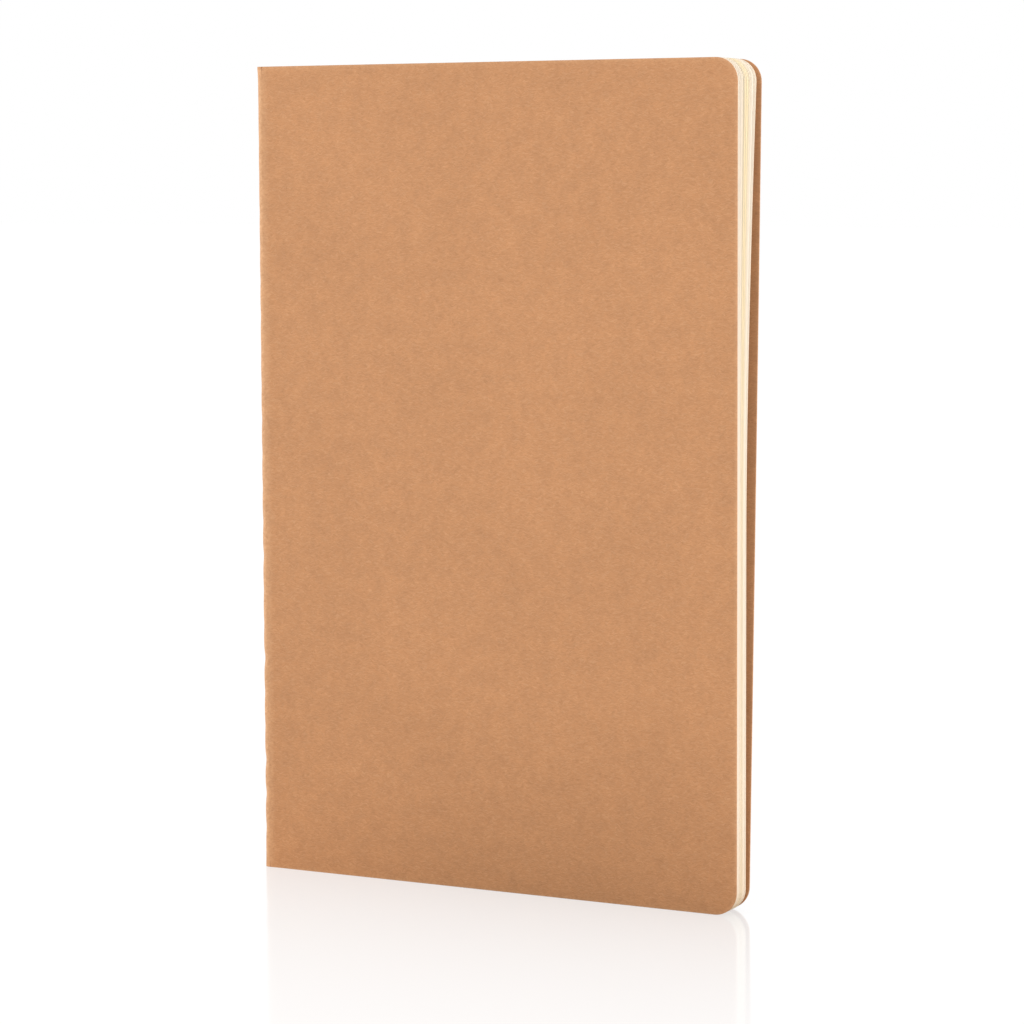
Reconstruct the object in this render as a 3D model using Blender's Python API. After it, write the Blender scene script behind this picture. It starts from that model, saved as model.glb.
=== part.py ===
"""Pocket notebook: kraft card cover, sixteen folded sheets sewn through the fold.

The book stands upright on its tail edge. +Z is up along the spine, the front
cover faces -Y, the spine is at -X and the fore-edge at +X. The origin is the
middle of the underside of the whole book's box.

The card cover is one sheet in three stretches: two flat panels and the creased
spine between them. Each paper sheet is likewise a front leaf, a fold and a back
leaf. Panels and leaves turn about the two creases of the spine, each on its own
empty; the folds and the thread stay with the spine.
"""
import math

import bmesh
import bpy
import numpy as np
from mathutils import Matrix, Vector

MM = 0.001

# ---------------------------------------------------------------- dimensions
WIDTH = 90.0 * MM            # spine to fore-edge
HEIGHT = 140.0 * MM          # tail to head
CORNER_R = 3.8 * MM          # fore-edge corners, covers and leaves trimmed together

CARD = 0.35 * MM             # cover card
PAPER = 0.09 * MM            # leaf
PITCH = 0.114 * MM           # leaf to leaf, with the air between
CENTRE_GAP = 0.36 * MM       # the centre thread lies in the middle sheet's gutter
SHEETS = 16                  # folded sheets, two leaves each
COVER_GAP = 0.05 * MM        # card to first leaf

BLOCK = 2 * ((SHEETS - 1) * PITCH + PAPER) + CENTRE_GAP
THICK = 2 * (CARD + COVER_GAP) + BLOCK

SPINE_R = 1.2 * MM           # outer radius of the two creases
MIN_OUTER_R = 0.15 * MM      # tightest fold of the inner sheets
MIN_INNER_R = 0.03 * MM
PANEL_X = 1.35 * MM          # panels start here, past the crease
FOLD_END_X = 2.90 * MM       # sewn gutter ends here
LEAF_X = 3.00 * MM           # free leaves start here
CREASE_X = 1.30 * MM         # the two hinge lines
CREASE_OUT = 0.03 * MM       # hinge lines lie this far outside the card's face

# the back cover has sprung open, more at the head than at the tail
SPLAY_TAIL = math.radians(0.71)
SPLAY_HEAD = math.radians(4.14)
TWIST_SLICES = 20

HOLE_Z0 = 7.0 * MM           # first needle hole above the tail
HOLE_PITCH = 6.0 * MM
HOLES = 22
HOLE_LONG = 0.90 * MM        # two strands pass through each hole
HOLE_WIDE = 0.34 * MM
THREAD_D = 0.30 * MM
LOCK_GAP = 0.14 * MM         # between the two threads' turning points

CORNER_STEPS = 6
CREASE_STEPS = 5



def splay_at(z):
    """How far the back cover stands open at height z."""
    return SPLAY_TAIL + (SPLAY_HEAD - SPLAY_TAIL) * z / HEIGHT


def splayed(x, y, z):
    """A point of the closed back cover, in the book's own frame, carried to where it has sprung open to."""
    a = splay_at(z)
    dx, dy = x - CREASE_X, y - (THICK + CREASE_OUT)
    return (CREASE_X + dx * math.cos(a) - dy * math.sin(a),
            THICK + CREASE_OUT + dx * math.sin(a) + dy * math.cos(a), z)


def arc(cx, cy, r, a0, a1, steps):
    return [(cx + r * math.cos(a), cy + r * math.sin(a))
            for a in np.linspace(math.radians(a0), math.radians(a1), steps + 1)]


# book frame to the part's frame: the box's middle goes to X = Y = 0
TIP_Y = max(splayed(x, THICK, z)[1]
            for x, z in arc(WIDTH - CORNER_R, HEIGHT - CORNER_R, CORNER_R, 0, 90, CORNER_STEPS))
BOX_X0 = -0.33 * MM          # the thread stands this far out of the spine
OFFSET = Vector((-(BOX_X0 + WIDTH) / 2, -TIP_Y / 2, 0.0))

FRONT_CREASE = Vector((CREASE_X, -CREASE_OUT, 0.0)) + OFFSET
BACK_CREASE = Vector((CREASE_X, THICK + CREASE_OUT, 0.0)) + OFFSET
MID_Y = THICK / 2

KRAFT = (0.55, 0.31, 0.15)
KRAFT_BACK = (0.47, 0.26, 0.12)
PAPER_COL = (0.88, 0.80, 0.66)
THREAD_COL = (0.62, 0.40, 0.21)


# ---------------------------------------------------------------- helpers
for ob in list(bpy.data.objects):
    bpy.data.objects.remove(ob, do_unlink=True)

parts = bpy.data.collections.new("pocket_notebook")
cutters = bpy.data.collections.new("cutters")
bpy.context.scene.collection.children.link(parts)
bpy.context.scene.collection.children.link(cutters)


def material(name, colour, roughness):
    mat = bpy.data.materials.new(name)
    mat.use_nodes = True
    bsdf = mat.node_tree.nodes["Principled BSDF"]
    bsdf.inputs["Base Color"].default_value = (*colour, 1.0)
    bsdf.inputs["Roughness"].default_value = roughness
    bsdf.inputs["Metallic"].default_value = 0.0
    mat.diffuse_color = (*colour, 1.0)
    return mat


def finish(curve_ob, name, colour, roughness):
    """A curve's solid as a closed mesh object of its own, at the curve's place."""
    bpy.context.view_layer.update()
    deps = bpy.context.evaluated_depsgraph_get()
    mesh = bpy.data.meshes.new_from_object(curve_ob.evaluated_get(deps))
    place = curve_ob.matrix_world.copy()
    bpy.data.objects.remove(curve_ob, do_unlink=True)
    bm = bmesh.new()
    bm.from_mesh(mesh)
    bmesh.ops.remove_doubles(bm, verts=bm.verts, dist=1e-6)
    bmesh.ops.dissolve_degenerate(bm, edges=bm.edges, dist=1e-7)
    bmesh.ops.recalc_face_normals(bm, faces=bm.faces)
    bm.to_mesh(mesh)
    bm.free()
    mesh.materials.clear()
    ob = bpy.data.objects.new(name, mesh)
    ob.matrix_world = place
    mesh.name = name
    mesh.materials.append(material(name, colour, roughness))
    parts.objects.link(ob)
    return ob


def flat(points, thickness, place):
    """A flat outline in the curve's XY plane, filled and made `thickness` thick."""
    cu = bpy.data.curves.new("outline", "CURVE")
    cu.dimensions = "2D"
    cu.fill_mode = "BOTH"
    cu.extrude = thickness / 2
    sp = cu.splines.new("POLY")
    sp.points.add(len(points) - 1)
    for p, (x, y) in zip(sp.points, points):
        p.co = (x, y, 0.0, 1.0)
    sp.use_cyclic_u = True
    ob = bpy.data.objects.new("outline", cu)
    ob.matrix_world = place
    parts.objects.link(ob)
    return ob


def panel(name, x0, x1, y, thickness, colour, roughness):
    """An upright panel at book y..y+thickness, rounded at its two fore-edge corners."""
    r = CORNER_R
    outline = ([(x0, 0.0)]
               + arc(x1 - r, r, r, -90, 0, CORNER_STEPS)
               + arc(x1 - r, HEIGHT - r, r, 0, 90, CORNER_STEPS)
               + [(x0, HEIGHT)])
    # the outline's plane stands upright: its y runs up, its normal points to -Y
    stand = Matrix.Translation(OFFSET + Vector((0, y + thickness / 2, 0))) @ Matrix.Rotation(math.pi / 2, 4, "X")
    return finish(flat(outline, thickness, stand), name, colour, roughness)


def channel(name, off, thickness, end_x, colour, roughness):
    """A folded strip: a U section whose outer face lies `off` inside the cover's outer face."""
    half = MID_Y - off
    ro = min(max(SPINE_R - off, MIN_OUTER_R), half * 0.96)
    ri = min(max(SPINE_R - off - thickness, MIN_INNER_R), (half - thickness) * 0.8)
    xo, xi = off, off + thickness
    y0, y1 = off, THICK - off
    outer = (arc(xo + ro, y0 + ro, ro, 270, 180, CREASE_STEPS)
             + arc(xo + ro, y1 - ro, ro, 180, 90, CREASE_STEPS))
    inner = (arc(xi + ri, y1 - thickness - ri, ri, 90, 180, CREASE_STEPS)
             + arc(xi + ri, y0 + thickness + ri, ri, 180, 270, CREASE_STEPS))
    outline = [(end_x, y0)] + outer + [(end_x, y1), (end_x, y1 - thickness)] + inner + [(end_x, y0 + thickness)]
    place = Matrix.Translation(OFFSET + Vector((0, 0, HEIGHT / 2)))
    return finish(flat(outline, HEIGHT, place), name, colour, roughness)


def crease_empty(name, where):
    em = bpy.data.objects.new(name, None)
    em.empty_display_size = 0.01
    em.location = where
    parts.objects.link(em)
    return em


def hang(ob, empty):
    """Parent a piece to its crease's empty without moving it."""
    bpy.context.view_layer.update()
    ob.parent = empty
    ob.matrix_parent_inverse = empty.matrix_world.inverted()


# ---------------------------------------------------------------- needle holes
bm = bmesh.new()
for i in range(HOLES):
    box = Matrix.Translation(OFFSET + Vector((1.2 * MM, MID_Y, HOLE_Z0 + i * HOLE_PITCH)))
    bmesh.ops.create_cube(bm, size=1.0,
                          matrix=box @ Matrix.Diagonal((4.0 * MM, HOLE_WIDE, HOLE_LONG, 1.0)))
holes_mesh = bpy.data.meshes.new("needle_holes")
bm.to_mesh(holes_mesh)
bm.free()
needle_holes = bpy.data.objects.new("needle_holes", holes_mesh)
needle_holes.hide_render = True
needle_holes.display_type = "WIRE"
cutters.objects.link(needle_holes)


def pierce(ob):
    mod = ob.modifiers.new("needle_holes", "BOOLEAN")
    mod.operation = "DIFFERENCE"
    mod.solver = "EXACT"
    mod.object = needle_holes


# ---------------------------------------------------------------- cover
front_hinge = crease_empty("front_crease", FRONT_CREASE)
back_hinge = crease_empty("back_crease", BACK_CREASE)

spine = channel("spine_fold", 0.0, CARD, PANEL_X - 0.05 * MM, KRAFT, 0.85)
pierce(spine)

front = panel("front_cover", PANEL_X, WIDTH, 0.0, CARD, KRAFT, 0.85)
hang(front, front_hinge)

back = panel("back_cover", PANEL_X, WIDTH, THICK - CARD, CARD, KRAFT_BACK, 0.85)
place = back.matrix_world.copy()
bm = bmesh.new()
bm.from_mesh(back.data)
bm.transform(place)
for k in range(1, TWIST_SLICES):
    bmesh.ops.bisect_plane(bm, geom=bm.verts[:] + bm.edges[:] + bm.faces[:], dist=1e-7,
                           plane_co=(0, 0, HEIGHT * k / TWIST_SLICES), plane_no=(0, 0, 1))
bmesh.ops.triangulate(bm, faces=bm.faces)
for v in bm.verts:
    v.co = Vector(splayed(*(v.co - OFFSET))) + OFFSET
bmesh.ops.recalc_face_normals(bm, faces=bm.faces)
bm.to_mesh(back.data)
bm.free()
back.matrix_world = Matrix.Identity(4)
hang(back, back_hinge)

# ---------------------------------------------------------------- sheets
for n in range(1, SHEETS + 1):
    off = CARD + COVER_GAP + (n - 1) * PITCH
    fold = channel(f"sheet_{n:02d}_fold", off, PAPER, FOLD_END_X, PAPER_COL, 0.9)
    pierce(fold)
    leaf = panel(f"sheet_{n:02d}_front_leaf", LEAF_X, WIDTH, off, PAPER, PAPER_COL, 0.9)
    hang(leaf, front_hinge)
    leaf = panel(f"sheet_{n:02d}_back_leaf", LEAF_X, WIDTH, THICK - off - PAPER, PAPER, PAPER_COL, 0.9)
    hang(leaf, back_hinge)

# ---------------------------------------------------------------- thread
# a lock stitch: each thread runs along its own side and dips into every hole,
# down one side of the hole and back up the other
def thread(name, run_x, turn_x, colour):
    leg = HOLE_LONG / 2 - THREAD_D / 2 - 0.06 * MM    # strand centre from the hole's centre
    s = 1.0 if turn_x > run_x else -1.0
    pts = []
    for i in range(HOLES):
        z = HOLE_Z0 + i * HOLE_PITCH
        pts += [(run_x, z - leg), (turn_x - s * leg, z - leg), (turn_x, z),
                (turn_x - s * leg, z + leg), (run_x, z + leg)]
    cu = bpy.data.curves.new(name, "CURVE")
    cu.dimensions = "3D"
    cu.bevel_depth = THREAD_D / 2
    cu.bevel_resolution = 1
    cu.use_fill_caps = True
    sp = cu.splines.new("POLY")
    sp.points.add(len(pts) - 1)
    for p, (x, z) in zip(sp.points, pts):
        p.co = (x + OFFSET.x, MID_Y + OFFSET.y, z, 1.0)
    ob = bpy.data.objects.new(name, cu)
    parts.objects.link(ob)
    return finish(ob, name, colour, 0.7)


INNER_FACE = CARD + COVER_GAP + (SHEETS - 1) * PITCH + PAPER   # gutter of the middle sheet
LOCK_X = 1.12 * MM
thread("spine_thread", BOX_X0 + THREAD_D / 2, LOCK_X - LOCK_GAP / 2 - THREAD_D / 2, THREAD_COL)
thread("centre_thread", INNER_FACE + 0.02 * MM + THREAD_D / 2, LOCK_X + LOCK_GAP / 2 + THREAD_D / 2, THREAD_COL)

bpy.context.view_layer.update()
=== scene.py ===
import math

import bmesh
import bpy
import numpy as np
from mathutils import Matrix, Vector


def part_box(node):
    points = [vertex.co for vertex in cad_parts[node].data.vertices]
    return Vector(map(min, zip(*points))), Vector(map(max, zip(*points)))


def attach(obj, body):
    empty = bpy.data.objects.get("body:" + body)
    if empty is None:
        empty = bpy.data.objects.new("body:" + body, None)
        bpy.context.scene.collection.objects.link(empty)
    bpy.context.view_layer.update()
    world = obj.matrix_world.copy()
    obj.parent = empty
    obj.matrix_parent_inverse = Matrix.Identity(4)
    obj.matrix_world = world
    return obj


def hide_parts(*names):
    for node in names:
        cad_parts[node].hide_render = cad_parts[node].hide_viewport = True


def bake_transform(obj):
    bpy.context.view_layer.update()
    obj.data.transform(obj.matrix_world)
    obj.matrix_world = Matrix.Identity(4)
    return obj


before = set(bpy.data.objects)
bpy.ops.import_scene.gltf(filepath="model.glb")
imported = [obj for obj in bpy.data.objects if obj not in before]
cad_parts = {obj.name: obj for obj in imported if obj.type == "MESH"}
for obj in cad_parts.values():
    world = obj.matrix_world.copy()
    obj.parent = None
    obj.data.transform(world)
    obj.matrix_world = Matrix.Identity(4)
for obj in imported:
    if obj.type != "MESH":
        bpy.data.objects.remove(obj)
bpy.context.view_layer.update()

# The book's own frame, in millimetres: x from the spine's outer face to the fore-edge,
# y from the front cover's outer face to the back, z up from the tail.
SPINE_LO, SPINE_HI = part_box("spine_fold")
X0, Y0 = SPINE_LO.x * 1000, SPINE_LO.y * 1000
T = (SPINE_HI.y - SPINE_LO.y) * 1000
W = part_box("front_cover")[1].x * 1000 - X0
H = SPINE_HI.z * 1000
MID = T / 2
CARD = 0.35
R = 3.8                        # fore-edge corners
SHEETS = 16
HOLE_Z = [7.0 + 6.0 * i for i in range(22)]
CREASE_X = 1.30                # hinge lines
FRONT_P = (CREASE_X, -0.03)
BACK_P = (CREASE_X, T + 0.03)

rng = np.random.default_rng(11)


# ------------------------------------------------------------------ camera
def euler_yxz(yaw, pitch, roll):
    cy, sy, cp, sp, cr, sr = (math.cos(yaw), math.sin(yaw), math.cos(pitch), math.sin(pitch),
                              math.cos(roll), math.sin(roll))
    ry = np.array([[cy, 0, sy], [0, 1, 0], [-sy, 0, cy]])
    rx = np.array([[1, 0, 0], [0, cp, -sp], [0, sp, cp]])
    rz = np.array([[cr, -sr, 0], [sr, cr, 0], [0, 0, 1]])
    return ry @ rx @ rz


FOCAL_PX = 3237.5
SHIFT_PX = 440 - 512
rot = euler_yxz(math.radians(26.8439), math.radians(4.3384), math.radians(1.9103))
tvec = np.array([-3.8296, 6.8314, 544.470])
centre = np.array([X0 + W / 2, Y0, H / 2])
c = -rot.T @ tvec
cam_at = (centre + np.array([c[0], c[2], -c[1]])) / 1000


def basis_to_world(v):
    return Vector((v[0], v[2], -v[1]))


right, down, ahead = (basis_to_world(rot[i]) for i in range(3))
cam_data = bpy.data.cameras.new("camera")
cam_data.sensor_width = 36.0
cam_data.lens = FOCAL_PX * 36.0 / 1024
cam_data.shift_y = SHIFT_PX / 1024
cam_data.clip_start, cam_data.clip_end = 0.02, 20.0
cam = bpy.data.objects.new("camera", cam_data)
bpy.context.scene.collection.objects.link(cam)
m = Matrix.Identity(4)
for row in range(3):
    m[row][0], m[row][1], m[row][2], m[row][3] = right[row], -down[row], -ahead[row], cam_at[row]
cam.matrix_world = m
bpy.context.scene.camera = cam
bpy.context.scene.view_settings.view_transform = "Standard"
bpy.context.scene.view_settings.look = "None"


# ------------------------------------------------------------------ node helpers
class Nodes:
    def __init__(self, name):
        self.mat = bpy.data.materials.new(name)
        self.mat.use_nodes = True
        self.nt = self.mat.node_tree
        self.bsdf = self.nt.nodes["Principled BSDF"]

    def add(self, kind, **props):
        node = self.nt.nodes.new(kind)
        for k, v in props.items():
            setattr(node, k, v)
        return node

    def link(self, a, b):
        self.nt.links.new(a, b)

    def put(self, sock, value):
        if isinstance(value, bpy.types.NodeSocket):
            self.link(value, sock)
        else:
            sock.default_value = value

    def math(self, op, a, b=0.0, clamp=False):
        n = self.add("ShaderNodeMath", operation=op, use_clamp=clamp)
        self.put(n.inputs[0], a)
        self.put(n.inputs[1], b)
        return n.outputs[0]

    def ramp(self, value, lo, hi, a=0.0, b=1.0, smooth=True):
        n = self.add("ShaderNodeMapRange", interpolation_type="SMOOTHSTEP" if smooth else "LINEAR")
        self.put(n.inputs["Value"], value)
        n.inputs["From Min"].default_value = lo
        n.inputs["From Max"].default_value = hi
        n.inputs["To Min"].default_value = a
        n.inputs["To Max"].default_value = b
        return n.outputs["Result"]

    def noise(self, vec, scale, detail=2.0, rough=0.5, distort=0.0, dims="2D"):
        n = self.add("ShaderNodeTexNoise", noise_dimensions=dims)
        self.link(vec, n.inputs["Vector"])
        n.inputs["Scale"].default_value = scale
        n.inputs["Detail"].default_value = detail
        n.inputs["Roughness"].default_value = rough
        n.inputs["Distortion"].default_value = distort
        return n.outputs["Fac"]

    def mapped(self, vec, loc=(0, 0, 0), angle=0.0, scale=(1, 1, 1)):
        n = self.add("ShaderNodeMapping")
        self.link(vec, n.inputs["Vector"])
        n.inputs["Location"].default_value = loc
        n.inputs["Rotation"].default_value = (0, 0, angle)
        n.inputs["Scale"].default_value = scale
        return n.outputs["Vector"]

    def mix(self, fac, a, b, mode="MIX"):
        n = self.add("ShaderNodeMix", data_type="RGBA", blend_type=mode)
        self.put(n.inputs[0], fac)
        self.put(n.inputs[6], a)
        self.put(n.inputs[7], b)
        return n.outputs[2]

    def attribute(self, name):
        return self.add("ShaderNodeAttribute", attribute_type="GEOMETRY", attribute_name=name).outputs["Fac"]

    def uv(self):
        return self.add("ShaderNodeUVMap", uv_map="flat").outputs["UV"]

    def warped(self, vec, scale, amount, loc=(0, 0, 0)):
        """vec, pushed about by a slow noise, so that straight strands come out curved."""
        n = self.add("ShaderNodeTexNoise", noise_dimensions="2D")
        self.link(self.mapped(vec, loc=loc), n.inputs["Vector"])
        n.inputs["Scale"].default_value = scale
        n.inputs["Detail"].default_value = 1.0
        off = self.add("ShaderNodeVectorMath", operation="SUBTRACT")
        self.link(n.outputs["Color"], off.inputs[0])
        off.inputs[1].default_value = (0.5, 0.5, 0.5)
        mul = self.add("ShaderNodeVectorMath", operation="SCALE")
        self.link(off.outputs[0], mul.inputs[0])
        mul.inputs["Scale"].default_value = amount
        out = self.add("ShaderNodeVectorMath", operation="ADD")
        self.link(vec, out.inputs[0])
        self.link(mul.outputs[0], out.inputs[1])
        return out.outputs[0]


def fibres(n, vec, angles, length, width, lo, hi, seed):
    """Short strands lying at several angles: 1 on a strand, 0 between."""
    total = None
    for k, ang in enumerate(angles):
        v = n.mapped(vec, loc=(seed * 3.7 + k * 11.3, seed * 1.9 - k * 7.1, 0), angle=ang,
                     scale=(1.0 / length, 1.0 / width, 1.0))
        s = n.ramp(n.noise(v, 1.0, detail=1.0, rough=0.45), lo, hi)
        total = s if total is None else n.math("MAXIMUM", total, s)
    return total


# ------------------------------------------------------------------ kraft card
def kraft_material(name, base, dark, light):
    """Uncoated kraft card. The 'flat' map is the card laid flat, in millimetres."""
    n = Nodes(name)
    uv = n.uv()
    w1 = n.warped(uv, 0.55, 1.3)
    w2 = n.warped(uv, 0.8, 1.0, loc=(31, 17, 0))
    big = n.noise(uv, 0.045, detail=2.0)
    cloud = n.noise(n.mapped(w1, loc=(5, 9, 0)), 0.34, detail=3.0, rough=0.55)
    fine = n.noise(n.mapped(w2, loc=(41, 3, 0)), 1.5, detail=3.0, rough=0.6)
    grain = n.noise(n.mapped(uv, loc=(7, 77, 0)), 6.5, detail=2.0, rough=0.6)
    dark_f = fibres(n, w1, (0.15, 0.95, 1.75, 2.6), 1.05, 0.16, 0.60, 0.76, 1.0)
    light_f = fibres(n, w2, (0.5, 1.35, 2.2), 1.2, 0.17, 0.60, 0.76, 5.0)
    speck = n.ramp(n.noise(n.mapped(uv, loc=(101, 55, 0)), 1.9, detail=2.0, rough=0.7), 0.70, 0.80)
    rim = n.attribute("rim")

    tone = n.math("ADD", n.ramp(big, 0.3, 0.7, 0.975, 1.025, False), n.ramp(cloud, 0.28, 0.72, -0.044, 0.044, False))
    tone = n.math("ADD", tone, n.ramp(fine, 0.28, 0.72, -0.034, 0.034, False))
    tone = n.math("ADD", tone, n.ramp(grain, 0.25, 0.75, -0.045, 0.045, False))
    col = n.mix(n.math("MULTIPLY", dark_f, 0.26), base, dark)
    col = n.mix(n.math("MULTIPLY", light_f, 0.24), col, light)
    col = n.mix(n.math("MULTIPLY", speck, 0.36), col, dark)
    # sheared and handled edges: the surface opens up and goes paler; on the spine's rounded corners and beside the
    # crease this pale mix is a painted highlight standing in for the left light
    edge_wear_and_highlight = n.math("MULTIPLY", rim, n.ramp(fine, 0.3, 0.7, 0.12, 0.36, False))
    col = n.mix(edge_wear_and_highlight, col, light)
    scale = n.add("ShaderNodeVectorMath", operation="SCALE")
    n.link(col, scale.inputs[0])
    n.link(tone, scale.inputs["Scale"])
    n.link(scale.outputs[0], n.bsdf.inputs["Base Color"])

    n.link(n.ramp(n.math("ADD", cloud, n.math("MULTIPLY", grain, 0.5)), 0.4, 1.1, 0.70, 0.86, False),
           n.bsdf.inputs["Roughness"])
    n.bsdf.inputs["Specular IOR Level"].default_value = 0.32
    n.bsdf.inputs["Sheen Weight"].default_value = 0.06
    n.bsdf.inputs["Sheen Roughness"].default_value = 0.6
    height = n.math("ADD", n.math("MULTIPLY", fine, 0.9), n.math("MULTIPLY", grain, 0.55))
    height = n.math("ADD", height, n.math("MULTIPLY", light_f, 0.35))
    height = n.math("SUBTRACT", height, n.math("MULTIPLY", dark_f, 0.3))
    bump = n.add("ShaderNodeBump")
    bump.inputs["Strength"].default_value = 0.35
    bump.inputs["Distance"].default_value = 0.00003
    n.link(height, bump.inputs["Height"])
    n.link(bump.outputs[0], n.bsdf.inputs["Normal"])
    return n.mat


def paper_material(name, page, edge_a, edge_b):
    """Uncoated cream paper. 'tone' differs from leaf to leaf; 'rim' is 1 on the cut edge."""
    n = Nodes(name)
    uv = n.uv()
    w = n.warped(uv, 0.6, 1.0)
    cloud = n.noise(w, 0.45, detail=3.0, rough=0.55)
    grain = n.noise(n.mapped(uv, loc=(9, 4, 0)), 5.0, detail=3.0, rough=0.6)
    strand = fibres(n, w, (0.3, 1.2, 2.1, 2.8), 0.9, 0.12, 0.62, 0.78, 3.0)
    rim = n.attribute("rim")
    tone = n.attribute("tone")
    edge = n.mix(tone, edge_a, edge_b)
    col = n.mix(rim, page, edge)
    lum = n.math("ADD", n.ramp(cloud, 0.3, 0.7, 0.985, 1.012, False), n.ramp(grain, 0.25, 0.75, -0.012, 0.012, False))
    lum = n.math("SUBTRACT", lum, n.math("MULTIPLY", strand, 0.018))
    # the cut edge keeps the knife's fine vertical drag marks
    drag = n.noise(n.mapped(uv, loc=(3, 8, 0), scale=(1, 0.06, 1)), 9.0, detail=2.0)
    lum = n.math("ADD", lum, n.math("MULTIPLY", rim, n.ramp(drag, 0.3, 0.7, -0.03, 0.02, False)))
    scale = n.add("ShaderNodeVectorMath", operation="SCALE")
    n.link(col, scale.inputs[0])
    n.link(lum, scale.inputs["Scale"])
    n.link(scale.outputs[0], n.bsdf.inputs["Base Color"])
    n.link(n.ramp(cloud, 0.3, 0.7, 0.78, 0.9, False), n.bsdf.inputs["Roughness"])
    n.bsdf.inputs["Specular IOR Level"].default_value = 0.25
    bump = n.add("ShaderNodeBump")
    bump.inputs["Strength"].default_value = 0.25
    bump.inputs["Distance"].default_value = 0.00002
    n.link(n.math("ADD", grain, n.math("MULTIPLY", strand, 0.5)), bump.inputs["Height"])
    n.link(bump.outputs[0], n.bsdf.inputs["Normal"])
    return n.mat


def thread_material(name, base, dark):
    n = Nodes(name)
    uv = n.uv()
    v = n.mapped(uv, scale=(0.9, 9.0, 1.0))
    hair = n.noise(v, 2.2, detail=3.0, rough=0.6)
    slow = n.noise(uv, 0.35, detail=2.0)
    col = n.mix(n.ramp(hair, 0.35, 0.7), base, dark)
    scale = n.add("ShaderNodeVectorMath", operation="SCALE")
    n.link(col, scale.inputs[0])
    n.link(n.ramp(slow, 0.3, 0.7, 0.93, 1.06, False), scale.inputs["Scale"])
    n.link(scale.outputs[0], n.bsdf.inputs["Base Color"])
    n.link(n.ramp(hair, 0.3, 0.7, 0.5, 0.7, False), n.bsdf.inputs["Roughness"])
    n.bsdf.inputs["Sheen Weight"].default_value = 0.15
    bump = n.add("ShaderNodeBump")
    bump.inputs["Strength"].default_value = 0.4
    bump.inputs["Distance"].default_value = 0.00002
    n.link(hair, bump.inputs["Height"])
    n.link(bump.outputs[0], n.bsdf.inputs["Normal"])
    return n.mat


KRAFT = kraft_material("kraft_card", (0.556, 0.268, 0.121, 1), (0.35, 0.148, 0.058, 1), (0.72, 0.42, 0.23, 1))
PAPER = paper_material("cream_paper", (0.86, 0.775, 0.63, 1), (0.94, 0.815, 0.67, 1), (0.97, 0.80, 0.50, 1))
THREAD = thread_material("linen_thread", (0.70, 0.50, 0.30, 1), (0.48, 0.30, 0.15, 1))


# ------------------------------------------------------------------ mesh helpers
def solid_from_grids(name, F, B, uv, mat, attrs, keep=None, bevel=0.0, smooth_angle=40.0):
    """A closed thin solid between two grids of points (nx, nz, 3) in the book's frame, mm.
    F is the face towards -Y or outside, B the other. keep says which cells exist."""
    nx, nz = F.shape[:2]
    if keep is None:
        keep = np.ones((nx - 1, nz - 1), bool)
    pts = np.concatenate([F.reshape(-1, 3), B.reshape(-1, 3)])
    uvs = np.concatenate([uv.reshape(-1, 2)] * 2)
    off = nx * nz
    faces = []

    def idx(i, j):
        return i * nz + j

    for i in range(nx - 1):
        for j in range(nz - 1):
            if not keep[i, j]:
                continue
            a, b, c_, d = idx(i, j), idx(i + 1, j), idx(i + 1, j + 1), idx(i, j + 1)
            faces.append((a, b, c_, d))
            faces.append((a + off, d + off, c_ + off, b + off))
            if i == 0 or not keep[i - 1, j]:
                faces.append((a, d, d + off, a + off))
            if i == nx - 2 or not keep[i + 1, j]:
                faces.append((b, b + off, c_ + off, c_))
            if j == 0 or not keep[i, j - 1]:
                faces.append((a, a + off, b + off, b))
            if j == nz - 2 or not keep[i, j + 1]:
                faces.append((d, c_, c_ + off, d + off))
    world = (pts + np.array([X0, Y0, 0.0])) / 1000
    me = bpy.data.meshes.new(name)
    me.from_pydata(world.tolist(), [], faces)
    layer = me.uv_layers.new(name="flat")
    loops = np.empty(len(me.loops), np.int64)
    me.loops.foreach_get("vertex_index", loops)
    layer.data.foreach_set("uv", uvs[loops].astype(np.float32).ravel())
    for key, val in attrs.items():
        at = me.attributes.new(key, "FLOAT", "POINT")
        at.data.foreach_set("value", np.concatenate([np.asarray(val, float).reshape(-1)] * 2).astype(np.float32)
                            if np.ndim(val) else np.full(len(pts), val, np.float32))
    # drop points that no cell uses
    bm = bmesh.new()
    bm.from_mesh(me)
    loose = [v for v in bm.verts if not v.link_faces]
    if loose:
        bmesh.ops.delete(bm, geom=loose, context="VERTS")
    bmesh.ops.recalc_face_normals(bm, faces=bm.faces)
    bm.to_mesh(me)
    bm.free()
    me.materials.append(mat)
    ob = bpy.data.objects.new(name, me)
    bpy.context.scene.collection.objects.link(ob)
    if bevel:
        mod = ob.modifiers.new("edge", "BEVEL")
        mod.width = bevel / 1000
        mod.segments = 2
        mod.limit_method = "ANGLE"
        mod.angle_limit = math.radians(50)
        mod.use_clamp_overlap = True
        bake(ob)
    ob.data.shade_smooth()
    ob.data.set_sharp_from_angle(angle=math.radians(smooth_angle))
    return ob


def bake(ob):
    """Modifiers become the mesh."""
    bpy.context.view_layer.update()
    dg = bpy.context.evaluated_depsgraph_get()
    me = bpy.data.meshes.new_from_object(ob.evaluated_get(dg), preserve_all_data_layers=True, depsgraph=dg)
    ob.modifiers.clear()
    old = ob.data
    ob.data = me
    bpy.data.meshes.remove(old)


def smoothstep(t):
    t = np.clip(t, 0, 1)
    return t * t * (3 - 2 * t)


def corner_z(x, inset=0.0):
    """Lowest z of a leaf or panel at x, rounded at the fore-edge corner."""
    r = R
    dx = np.clip(np.asarray(x, float) - (W - r), 0, r)
    return r - np.sqrt(np.maximum(r * r - dx * dx, 0))


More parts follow.
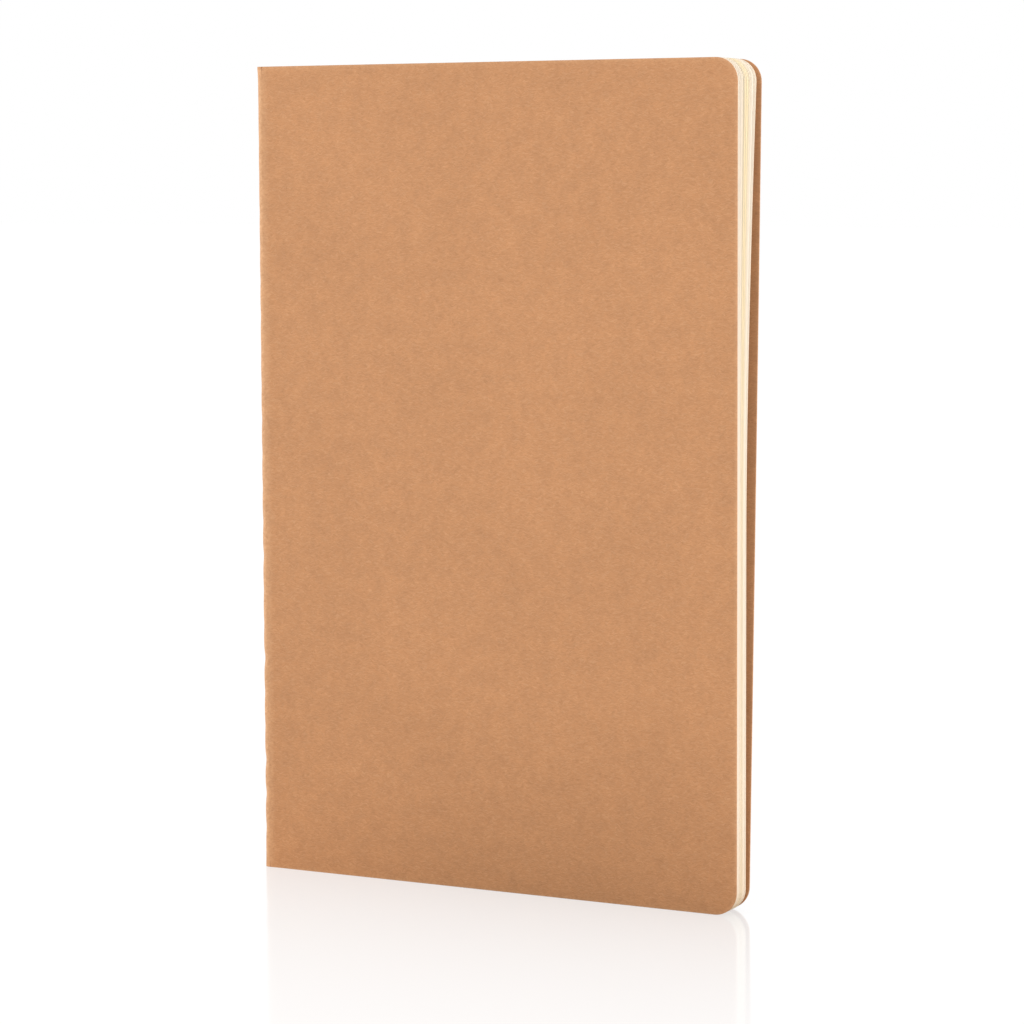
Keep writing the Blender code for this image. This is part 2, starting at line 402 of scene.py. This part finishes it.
def columns(x_start, fine_to, n_fine, n_mid, n_corner, edge=None):
    xs = list(np.linspace(x_start, fine_to, n_fine))
    t = np.linspace(0, 1, n_mid + 1)[1:]
    xs += list(fine_to + (W - R - fine_to) * (t * 0.75 + 0.25 * t ** 2))
    xs += [W - R + R * math.sin(a) for a in np.linspace(0, math.pi / 2, n_corner + 1)[1:]]
    return np.array(xs)


def panel_grid(xs, n_rows, border=()):
    """x, z grids of a panel. border lists distances from head and tail that get a row of their own."""
    t = np.linspace(0, 1, n_rows)
    extra = [b / H for b in border] + [1 - b / H for b in border]
    t = np.unique(np.round(np.concatenate([t, extra]), 6))
    z0 = corner_z(xs)
    X = np.repeat(xs[:, None], len(t), 1)
    Z = z0[:, None] + t[None, :] * (H - 2 * z0)[:, None]
    return X, Z


def rim_distance(X, Z):
    """Distance to the trimmed head, tail or fore-edge."""
    d = np.minimum(np.minimum(Z, H - Z), W - X)
    cx, cz = W - R, np.where(Z > H / 2, H - R, R)
    beyond = (X > cx) & ((Z > H - R) | (Z < R))
    rad = np.hypot(X - cx, Z - cz)
    return np.where(beyond, R - rad, d)


# ------------------------------------------------------------------ the notebook's own shape
def pull(z):
    """How far each stitch draws the spine in, mm."""
    z = np.asarray(z, float)
    out = np.zeros_like(z)
    for i, hz in enumerate(HOLE_Z):
        depth = PULLS[i]
        out = np.maximum(out, depth * np.exp(-((z - hz) / 1.35) ** 2))
    return out


PULLS = 0.07 + 0.16 * rng.random(22)
PULLS *= np.interp(HOLE_Z, [0, 22, 55, 90, 123, 140], [1.05, 1.0, 0.55, 0.36, 0.15, 0.12])


def cover_wave(x, z):
    """The card is nearly flat: a slow, slight waviness and a faint hollow beside the crease."""
    return (0.05 * np.sin(z / 31.0 + 0.7) * np.sin(x / 27.0) + 0.035 * np.sin(z / 17.0 + x / 41.0 + 2.0)
            * smoothstep((x - 4) / 30.0) + 0.05 * np.exp(-((x - 4.5) / 1.8) ** 2))


def splay_angle(z):
    return np.radians(0.71 + (4.14 - 0.71) * z / H)


def curl(z, share):
    """How far a leaf's fore-edge has curled back at height z. share is 1 for the last leaf."""
    return 4.3 * share * np.clip((z - 64.0) / 76.0, 0, 1) ** 1.6


# front cover ---------------------------------------------------------
def cover_columns():
    xs = list(np.linspace(1.305, 4.3, 15)) + list(np.linspace(4.3, W - R, 34)[1:])
    xs += [W - R + R * math.sin(a) for a in np.linspace(0, math.pi / 2, 13)[1:]]
    xs += [W - 0.5, W - 0.2]
    return np.unique(np.round(np.array(xs), 5))


xs = cover_columns()
X, Z = panel_grid(xs, 52, border=(0.2, 0.5, 1.2))
rimd = rim_distance(X, Z)
rim = np.exp(-(rimd / 0.38) ** 2)
# paler beside the crease: a painted highlight that carries the spine's lit rounding onto the covers
rim = np.maximum(rim, 1.15 * (1 - smoothstep((X - 1.3) / 1.4)))
fade = smoothstep((X - 1.3) / 3.0)
wave = cover_wave(X, Z) * fade
turn = 0.05 * np.exp(-(rimd / 0.5) ** 2)          # the knife turns the sheared edge down a little
yf = wave + turn
front = solid_from_grids(
    "front_cover_card", np.stack([X, yf, Z], -1), np.stack([X, yf * 0.9 + CARD, Z], -1),
    np.stack([X, Z], -1), KRAFT, {"rim": rim}, bevel=0.07)

# back cover ----------------------------------------------------------
ang = splay_angle(Z)
bow = 0.25 * np.sin(math.pi * np.clip((X - CREASE_X) / (W - CREASE_X), 0, 1)) * smoothstep((X - 1.3) / 6)


def splayed(x, y, z):
    a = splay_angle(z)
    dx, dy = x - BACK_P[0], y - BACK_P[1]
    return np.stack([BACK_P[0] + dx * np.cos(a) - dy * np.sin(a),
                     BACK_P[1] + dx * np.sin(a) + dy * np.cos(a), z], -1)


wave_b = (0.05 * np.sin(Z / 29.0 + 1.9) * np.sin(X / 25.0)) * fade
outer = splayed(X, T + wave_b - bow * 0.6 - turn, Z)
inner = splayed(X, T - CARD + wave_b - bow * 0.6 - turn * 0.2, Z)
back = solid_from_grids("back_cover_card", inner, outer, np.stack([200.0 - X, Z], -1), KRAFT,
                        {"rim": rim}, bevel=0.07)


# spine ---------------------------------------------------------------
def channel_profile(off, thick, end_x, steps, flat_steps):
    """Outer and inner lines of a U section, matched point for point, from the front arm's end round to the back's."""
    half = MID - off
    ro = min(max(1.2 - off, 0.15), half * 0.96)
    ri = min(max(1.2 - off - thick, 0.03), (half - thick) * 0.8)

    def line(o, r):
        y0, y1 = o, T - o
        pts = [(x, y0) for x in np.linspace(end_x, o + r, 4)]
        pts += [(o + r - r * math.sin(a), y0 + r - r * math.cos(a)) for a in np.linspace(0, math.pi / 2, steps + 1)[1:]]
        pts += [(o, y) for y in np.linspace(y0 + r, y1 - r, flat_steps + 1)[1:]]
        pts += [(o + r - r * math.cos(a), y1 - r + r * math.sin(a)) for a in np.linspace(0, math.pi / 2, steps + 1)[1:]]
        pts += [(x, y1) for x in np.linspace(o + r, end_x, 4)[1:]]
        return np.array(pts)

    return line(off, ro), line(off + thick, ri)


def spine_rows(gap):
    zs = [0.0, 0.2, 0.5, 1.2, 2.5, 4.0]
    for hz in HOLE_Z:
        zs += [hz - 2.0, hz - 1.2, hz - 0.8, hz - gap, hz - gap * 0.4, hz + gap * 0.4, hz + gap, hz + 0.8, hz + 1.2, hz + 2.0]
        zs.append(hz + 3.0)
    zs = [z for z in zs if z < H - 4.1] + [H - 4.0, H - 2.5, H - 1.2, H - 0.5, H - 0.2, H]
    return np.unique(np.round(zs, 4))


def pinched(line, zs, share=1.0):
    """The section carried up the spine, drawn in at each stitch."""
    n = len(line)
    P = np.zeros((n, len(zs), 3))
    d = pull(zs) * share
    # full pull on the spine's back, fading out along the arms
    w = smoothstep((2.2 - line[:, 0]) / 2.0)
    mid = np.exp(-((line[:, 1] - MID) / 0.5) ** 2)
    near = np.min(np.abs(zs[:, None] - np.array(HOLE_Z)[None, :]), 1)
    dimple = 0.10 * np.exp(-(near / 0.5) ** 2) + 0.05
    flare = 0.13 * np.exp(-((H - zs) / 1.4) ** 2) + 0.05 * np.exp(-(zs / 1.2) ** 2)
    for k in range(n):
        P[k, :, 0] = line[k, 0] + w[k] * (d - flare + (mid[k] * dimple if line[k, 0] < 0.8 else 0.0))
        P[k, :, 1] = line[k, 1] + (MID - line[k, 1]) * 0.035 * w[k] * (d / 0.15)
        P[k, :, 2] = zs
    return P


def hole_mask(line, zs, half_w, gap):
    """Cells away from the needle holes."""
    keep = np.ones((len(line) - 1, len(zs) - 1), bool)
    cy = (line[:-1, 1] + line[1:, 1]) / 2
    cz = (zs[:-1] + zs[1:]) / 2
    near = np.min(np.abs(cz[:, None] - np.array(HOLE_Z)[None, :]), 1)
    back_x = line[:, 0].min() + 0.02
    on_back = (line[:-1, 0] < back_x) & (line[1:, 0] < back_x)
    for i in range(len(line) - 1):
        if on_back[i] and abs(cy[i] - MID) < half_w:
            keep[i, near < gap] = False
    return keep


def section_length(line):
    return np.concatenate([[0], np.cumsum(np.hypot(*np.diff(line, axis=0).T))])


zs = spine_rows(0.33)
out_line, in_line = channel_profile(0.0, CARD, 1.303, 9, 12)
arc_len = section_length(out_line)
uv_u = 1.303 - arc_len          # runs on from the front cover's own map
P_out, P_in = pinched(out_line, zs), pinched(in_line, zs)
keep = hole_mask(out_line, zs, 0.2, 0.33)
rim_s = np.exp(-(np.minimum(zs, H - zs) / 0.38) ** 2)
# the fold goes a little paler all over, as folded card does, and much paler on the rounded corners: that part is a
# painted highlight where the rounding faces the left light
rounding_highlight_mask = smoothstep((np.abs(out_line[:, 1] - MID) - 0.9) / 0.6)
crease = (0.3 + 2.1 * rounding_highlight_mask) * (1 - 0.55 * smoothstep((out_line[:, 0] - 0.75) / 0.7))
spine_wear_and_highlight = np.maximum(np.repeat(rim_s[None, :], len(out_line), 0), np.repeat(crease[:, None], len(zs), 1))
spine = solid_from_grids("spine_fold_card", P_out, P_in,
                         np.stack([np.repeat(uv_u[:, None], len(zs), 1), np.repeat(zs[None, :], len(out_line), 0)], -1),
                         KRAFT, {"rim": spine_wear_and_highlight}, keep=keep, smooth_angle=55)

# sheets --------------------------------------------------------------
def tone_of(k):
    """k is 0 at the front cover, 1 at the back: the middle of the block reads yellower."""
    return float(np.clip(math.exp(-((k - 0.47) / 0.17) ** 2) + rng.normal(0, 0.08), 0, 1))


leaf_xs = columns(2.905, 9.0, 9, 14, 9)
LX, LZ = panel_grid(leaf_xs, 25, border=(0.04,))
leaf_rim = (rim_distance(LX, LZ) < 1e-6).astype(float)
run = np.clip((LX - 4.0) / (W - 4.0), 0, 1)
close_gap = smoothstep((LX - 4.0) / 16.0)

# the order of the leaves through the block, and how the rear ones have fanned
fan = np.linspace(0, 1, 32) ** 1.0
steps = rng.random(32) * 0.8 + 0.6
steps[10] += 1.6
steps[21] += 1.2
fan = np.cumsum(steps)
fan = (fan - fan[0]) / (fan[-1] - fan[0])

leaves = []
for order in range(32):
    side, sheet = ("front", order + 1) if order < 16 else ("back", 32 - order)
    node = f"sheet_{sheet:02d}_{side}_leaf"
    lo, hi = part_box(node)
    y_lo, y_hi = lo.y * 1000 - Y0, hi.y * 1000 - Y0
    shift = -0.33 * close_gap if side == "back" else 0.0
    bend = curl(LZ, fan[order]) * run ** 1.9
    base = shift + bend
    burr = 0.22 * curl(LZ, 1 / 31) * run ** 1.9      # the knife leaves the cut edge a touch thicker
    edge_jit = rng.normal(0, 0.035)
    XX = LX + edge_jit * smoothstep((LX - 60) / 30)
    uv = np.stack([XX + order * 113.0, LZ + order * 37.0], -1)
    ob = solid_from_grids(f"sheet_{sheet:02d}_{side}_page",
                          np.stack([XX, y_lo + base - burr, LZ], -1), np.stack([XX, y_hi + base + burr, LZ], -1), uv, PAPER,
                          {"rim": leaf_rim, "tone": tone_of(order / 31) * (0.35 + 0.65 * smoothstep((LZ - 40) / 80))},
                          smooth_angle=50)
    leaves.append((ob, side, sheet, node))

fold_objects = []
fold_zs = spine_rows(0.33)
for sheet in range(1, SHEETS + 1):
    off = 0.40 + (sheet - 1) * 0.114
    o_line, i_line = channel_profile(off, 0.09, 2.90, 3, 5 if sheet < 13 else 3)
    Po, Pi = pinched(o_line, fold_zs, 0.95), pinched(i_line, fold_zs, 0.95)
    keep = hole_mask(o_line, fold_zs, 0.2, 0.33)
    ln = section_length(o_line)
    uv = np.stack([np.repeat(ln[:, None] + sheet * 57.0, len(fold_zs), 1),
                   np.repeat(fold_zs[None, :], len(o_line), 0)], -1)
    ends = np.repeat(((fold_zs < 1e-6) | (fold_zs > H - 1e-6)).astype(float)[None, :], len(o_line), 0)
    ob = solid_from_grids(f"sheet_{sheet:02d}_fold_paper", Po, Pi, uv, PAPER, {"rim": ends, "tone": 0.3},
                          keep=keep, smooth_angle=55)
    fold_objects.append((ob, f"sheet_{sheet:02d}_fold"))


# thread --------------------------------------------------------------
def smooth_path(pts, rounds=3):
    p = np.array(pts, float)
    for _ in range(rounds):
        a = p[:-1] * 0.75 + p[1:] * 0.25
        b = p[:-1] * 0.25 + p[1:] * 0.75
        q = np.empty((len(a) * 2, 3))
        q[0::2], q[1::2] = a, b
        p = np.concatenate([p[:1], q, p[-1:]])
    return p


def resample(p, step):
    s = np.concatenate([[0], np.cumsum(np.linalg.norm(np.diff(p, axis=0), axis=1))])
    n = int(s[-1] / step)
    t = np.linspace(0, s[-1], n + 1)
    return np.stack([np.interp(t, s, p[:, k]) for k in range(3)], -1), t


def twisted(name, pts, ply_r, lay_r, lay_pitch, mat, sides=6, step=0.1):
    """A three-ply thread along pts."""
    path, s = resample(smooth_path(pts), step)
    tan = np.gradient(path, axis=0)
    tan /= np.linalg.norm(tan, axis=1)[:, None]
    side_v = np.array([0.0, 1.0, 0.0])           # the path lies in the plane y = const
    verts, faces, uvs = [], [], []
    for ply in range(3):
        ph = 2 * math.pi * (s / lay_pitch + ply / 3)
        nrm = np.cross(tan, side_v)
        nrm /= np.linalg.norm(nrm, axis=1)[:, None]
        cen = path + lay_r * (np.cos(ph)[:, None] * nrm + np.sin(ph)[:, None] * side_v)
        t2 = np.gradient(cen, axis=0)
        t2 /= np.linalg.norm(t2, axis=1)[:, None]
        u = np.cross(t2, side_v)
        u /= np.linalg.norm(u, axis=1)[:, None]
        v = np.cross(t2, u)
        base = len(verts)
        for k in range(len(cen)):
            for q in range(sides):
                a = 2 * math.pi * q / sides
                verts.append(cen[k] + ply_r * (math.cos(a) * u[k] + math.sin(a) * v[k]))
                uvs.append((s[k] + ply * 40, q / sides))
        for k in range(len(cen) - 1):
            for q in range(sides):
                q2 = (q + 1) % sides
                a, b = base + k * sides + q, base + k * sides + q2
                faces.append((a, b, b + sides, a + sides))
        faces.append(tuple(base + q for q in reversed(range(sides))))
        last = base + (len(cen) - 1) * sides
        faces.append(tuple(last + q for q in range(sides)))
    world = (np.array(verts) + np.array([X0, Y0, 0.0])) / 1000
    me = bpy.data.meshes.new(name)
    me.from_pydata(world.tolist(), [], faces)
    layer = me.uv_layers.new(name="flat")
    loops = np.empty(len(me.loops), np.int64)
    me.loops.foreach_get("vertex_index", loops)
    layer.data.foreach_set("uv", np.array(uvs)[loops].astype(np.float32).ravel())
    bm = bmesh.new()
    bm.from_mesh(me)
    bmesh.ops.recalc_face_normals(bm, faces=bm.faces)
    bm.to_mesh(me)
    bm.free()
    me.materials.append(mat)
    me.shade_smooth()
    ob = bpy.data.objects.new(name, me)
    bpy.context.scene.collection.objects.link(ob)
    return ob


def stitch_points(run_x, turn_x, leg=0.17, pinch=1.0):
    """A lock stitch's path: along the fold, down into each hole and back out of it."""
    s = 1.0 if turn_x > run_x else -1.0
    pts = []
    for i, hz in enumerate(HOLE_Z):
        d = float(pull(np.array([hz]))[0]) * pinch
        px = run_x + d
        lead = [(px - s * 0.02, hz - leg - 0.28), (px + s * 0.06, hz - leg)]
        down = [(turn_x - s * leg, hz - leg), (turn_x, hz - leg * 0.6), (turn_x, hz + leg * 0.6), (turn_x - s * leg, hz + leg)]
        tail = [(px + s * 0.06, hz + leg), (px - s * 0.02, hz + leg + 0.28)]
        if i == 0:
            lead = [(px + s * 0.5, hz - leg)]
        if i == len(HOLE_Z) - 1:
            tail = [(px + s * 0.5, hz + leg)]
        pts += lead + down + tail
        if i < len(HOLE_Z) - 1:
            mz = hz + 3.0
            pts += [(run_x + float(pull(np.array([hz + 1.5]))[0]) * pinch, hz + 1.5), (run_x, mz),
                    (run_x + float(pull(np.array([hz + 4.5]))[0]) * pinch, hz + 4.5)]
    return [(x, MID, z) for x, z in pts]


thread_out = twisted("spine_sewing_thread", stitch_points(-0.10, 0.86), 0.075, 0.072, 1.05, THREAD)
thread_in = twisted("centre_sewing_thread", stitch_points(2.385, 1.38), 0.072, 0.068, 1.05, THREAD)

# ------------------------------------------------------------------ riding: fold papers, spine and threads ride the binding; leaves and covers stay where they are built
for ob, node in fold_objects:
    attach(ob, "binding")
    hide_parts(node)
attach(spine, "binding"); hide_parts("spine_fold")
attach(thread_out, "binding"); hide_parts("spine_thread")
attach(thread_in, "binding"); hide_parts("centre_thread")


for ob, side, sheet, node in leaves:
    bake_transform(ob)
    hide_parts(node)

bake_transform(front)
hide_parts("front_cover")
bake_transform(back)
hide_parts("back_cover")

# ------------------------------------------------------------------ studio
def floor_material():
    """White floor: it carries a faint reflection close to the book, and bounces less light there."""
    n = Nodes("studio_floor")
    nt = n.nt
    nt.nodes.remove(n.bsdf)
    out = next(x for x in nt.nodes if x.type == "OUTPUT_MATERIAL")
    pos = n.add("ShaderNodeNewGeometry").outputs["Position"]
    sep = n.add("ShaderNodeSeparateXYZ")
    n.link(pos, sep.inputs[0])
    dx = n.math("MAXIMUM", n.math("SUBTRACT", n.math("ABSOLUTE", sep.outputs[0]), W / 2000), 0.0)
    dy = n.math("MAXIMUM", n.math("SUBTRACT", n.math("ABSOLUTE", sep.outputs[1]), 0.0055), 0.0)
    d = n.math("SQRT", n.math("ADD", n.math("MULTIPLY", dx, dx), n.math("MULTIPLY", dy, dy)))

    bounce = n.add("ShaderNodeEmission")
    near = n.math("MAXIMUM", n.ramp(sep.outputs[0], -0.055, 0.005, 0.78, 0.32),
                  n.ramp(sep.outputs[0], 0.036, 0.060, 0.30, 0.90))
    far = n.ramp(d, 0.0, 0.065, 0.0, 1.0)
    n.link(n.math("ADD", n.math("MULTIPLY", near, n.math("SUBTRACT", 1.0, far)), n.math("MULTIPLY", far, 0.98)),
           bounce.inputs["Strength"])
    n.link(n.mix(far, (1.0, 0.82, 0.66, 1), (1.0, 1.0, 1.0, 1)), bounce.inputs["Color"])
    emit = n.add("ShaderNodeEmission")
    emit.inputs["Strength"].default_value = 0.88
    diff = n.add("ShaderNodeBsdfDiffuse")
    diff.inputs["Color"].default_value = (0.13, 0.13, 0.13, 1)
    add = n.add("ShaderNodeAddShader")
    n.link(emit.outputs[0], add.inputs[0])
    n.link(diff.outputs[0], add.inputs[1])
    gloss = n.add("ShaderNodeBsdfGlossy")
    gloss.inputs["Color"].default_value = (1, 1, 1, 1)
    gloss.inputs["Roughness"].default_value = 0.10
    seen = n.add("ShaderNodeMixShader")
    n.link(n.math("MULTIPLY", n.math("POWER", 2.718, n.math("MULTIPLY", d, -14.0)), 0.26), seen.inputs["Fac"])
    n.link(add.outputs[0], seen.inputs[1])
    n.link(gloss.outputs[0], seen.inputs[2])
    path = n.add("ShaderNodeLightPath")
    mix = n.add("ShaderNodeMixShader")
    n.link(path.outputs["Is Camera Ray"], mix.inputs["Fac"])
    n.link(bounce.outputs[0], mix.inputs[1])
    n.link(seen.outputs[0], mix.inputs[2])
    n.link(mix.outputs[0], out.inputs["Surface"])
    return n.mat


me = bpy.data.meshes.new("floor")
bm = bmesh.new()
bmesh.ops.create_grid(bm, x_segments=1, y_segments=1, size=6.0)
bm.to_mesh(me)
bm.free()
me.materials.append(floor_material())
floor = bpy.data.objects.new("floor", me)
floor.location = (0, 0, -0.00005)
bpy.context.scene.collection.objects.link(floor)

world = bpy.data.worlds.new("studio")
bpy.context.scene.world = world
world.use_nodes = True
bg = world.node_tree.nodes["Background"]
bg.inputs["Color"].default_value = (1.0, 1.0, 1.0, 1)
bg.inputs["Strength"].default_value = 1.0


def area(name, where, target, size, power, colour=(1, 1, 1)):
    li = bpy.data.lights.new(name, "AREA")
    li.shape = "RECTANGLE"
    li.size, li.size_y = size
    li.energy = power
    li.color = colour
    ob = bpy.data.objects.new(name, li)
    ob.location = where
    ob.rotation_mode = "QUATERNION"
    ob.rotation_quaternion = (Vector(target) - Vector(where)).to_track_quat("-Z", "Y")
    bpy.context.scene.collection.objects.link(ob)
    ob.visible_camera = False
    ob.visible_glossy = False
    return ob


area("key", (-0.40, -0.75, 0.80), (0, 0, 0.09), (0.6, 0.6), 1.75, (1.0, 0.99, 0.975))
area("side", (0.95, 0.10, 0.30), (0, 0, 0.07), (0.5, 0.5), 3.1, (1.0, 0.98, 0.96))
area("left", (-0.85, -0.06, 0.22), (0, 0, 0.07), (0.35, 0.35), 2.2, (1.0, 0.985, 0.96))
